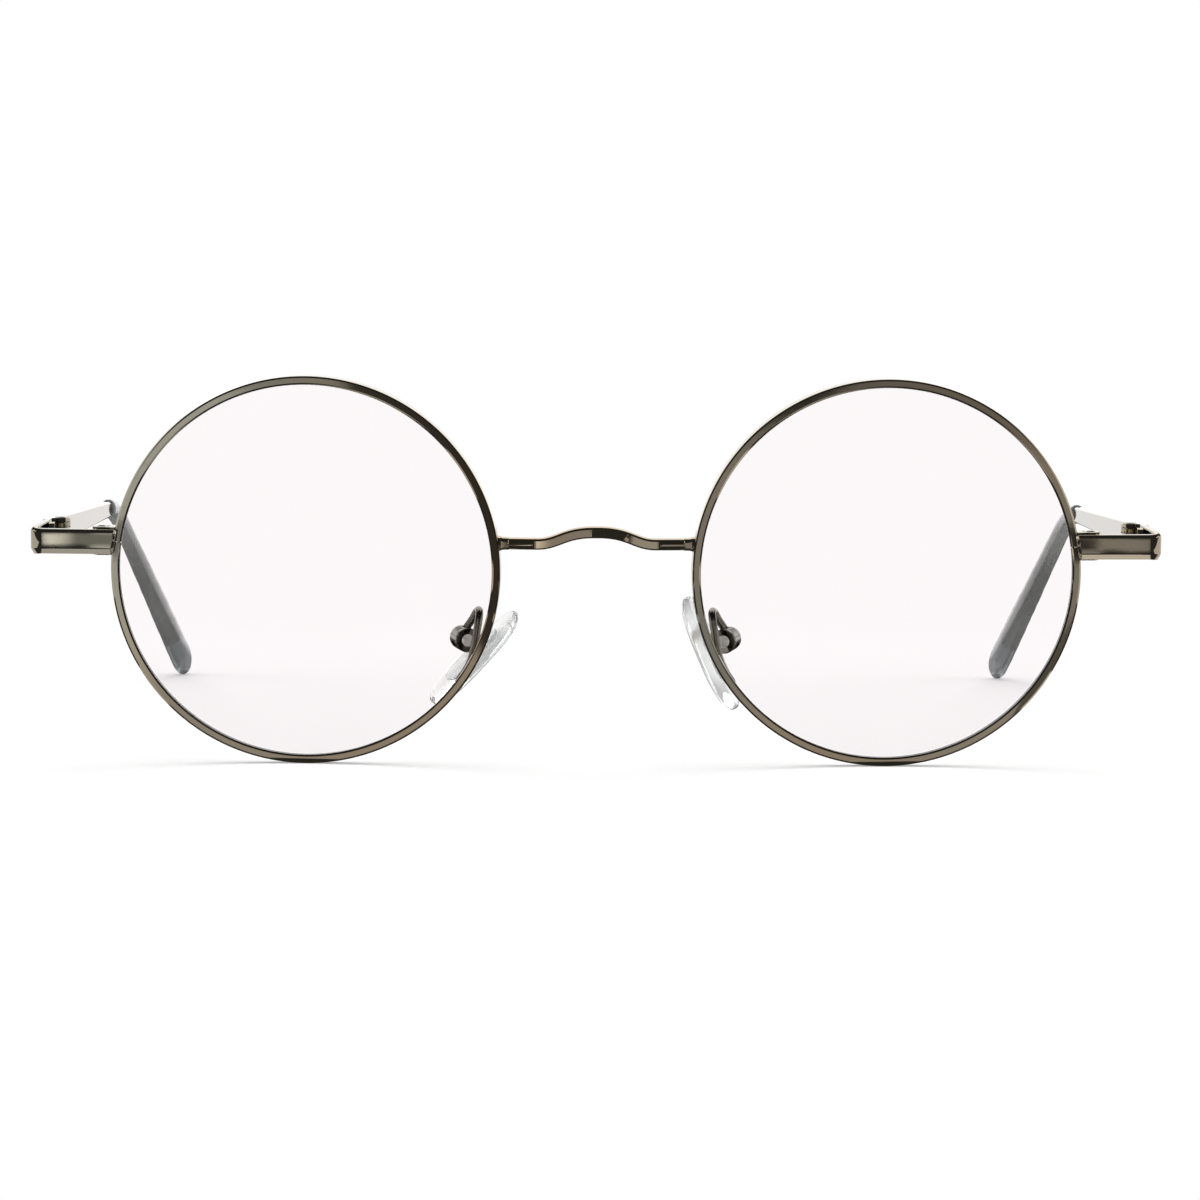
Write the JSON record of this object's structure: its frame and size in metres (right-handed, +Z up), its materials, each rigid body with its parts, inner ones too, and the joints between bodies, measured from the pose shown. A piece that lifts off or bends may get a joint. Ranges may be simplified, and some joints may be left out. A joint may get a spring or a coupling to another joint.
{
  "type": "round eyeglasses",
  "caption": "Round metal eyeglasses with clear lenses, folding temples with plastic ear tips, and rocking nose pads on wire arms.",
  "frame": {"origin": "on the table, under the middle of the glasses from side to side and from front to back", "axes": "-Y is the way the wearer looks, +Y runs back along the open temples, +Z is up with the glasses standing on the rims and the ends of the temples, and +X is the wearer's left"},
  "size_m": [0.1366, 0.1428, 0.0471],
  "materials": {
    "gunmetal": "gloss",
    "screw_steel": "satin",
    "lens": "polished",
    "pad_core_plastic": "gloss",
    "clear_pad": "gloss",
    "tip_plastic": "gloss"
  },
  "bodies": {
    "front": {"bridge": "gunmetal", "right_rim": "gunmetal", "left_rim": "gunmetal", "right_lens": "lens", "left_lens": "lens", "right_end_piece": "gunmetal", "left_end_piece": "gunmetal", "right_upper_closing_barrel": "gunmetal", "left_upper_closing_barrel": "gunmetal", "right_lower_closing_barrel": "gunmetal", "left_lower_closing_barrel": "gunmetal", "right_rim_screw": "screw_steel", "left_rim_screw": "screw_steel", "right_front_hinge_leaf": "gunmetal", "left_front_hinge_leaf": "gunmetal", "right_hinge_screw": "screw_steel", "left_hinge_screw": "screw_steel", "right_pad_arm": "gunmetal", "left_pad_arm": "gunmetal", "right_pad_box": "gunmetal", "left_pad_box": "gunmetal", "right_pad_screw": "screw_steel", "left_pad_screw": "screw_steel"},
    "right_temple_arm": {"right_temple": "gunmetal", "right_temple_hinge_leaf": "gunmetal", "right_temple_tip": "tip_plastic"},
    "left_temple_arm": {"left_temple": "gunmetal", "left_temple_hinge_leaf": "gunmetal", "left_temple_tip": "tip_plastic"},
    "right_pad": {"right_nose_pad": "clear_pad", "right_pad_core": "pad_core_plastic"},
    "left_pad": {"left_nose_pad": "clear_pad", "left_pad_core": "pad_core_plastic"}
  },
  "joints": [
    {"name": "right_temple_fold", "type": "hinge", "parent": "front", "child": "right_temple_arm", "pos_m": [-0.06515, -0.06073, 0.02742], "axis": [0, -0.013, -0.9999], "range_deg": [0, 88]},
    {"name": "left_temple_fold", "type": "hinge", "parent": "front", "child": "left_temple_arm", "pos_m": [0.06515, -0.06073, 0.02742], "axis": [0, 0.013, 0.9999], "range_deg": [0, 82]},
    {"name": "right_pad_rock", "type": "hinge", "parent": "front", "child": "right_pad", "pos_m": [-0.016, -0.06176, 0.015], "axis": [-0.2756, 0.9583, 0.0754], "range_deg": [-22, 2]},
    {"name": "left_pad_rock", "type": "hinge", "parent": "front", "child": "left_pad", "pos_m": [0.016, -0.06176, 0.015], "axis": [-0.2756, -0.9583, -0.0754], "range_deg": [-2, 22]}
  ]
}
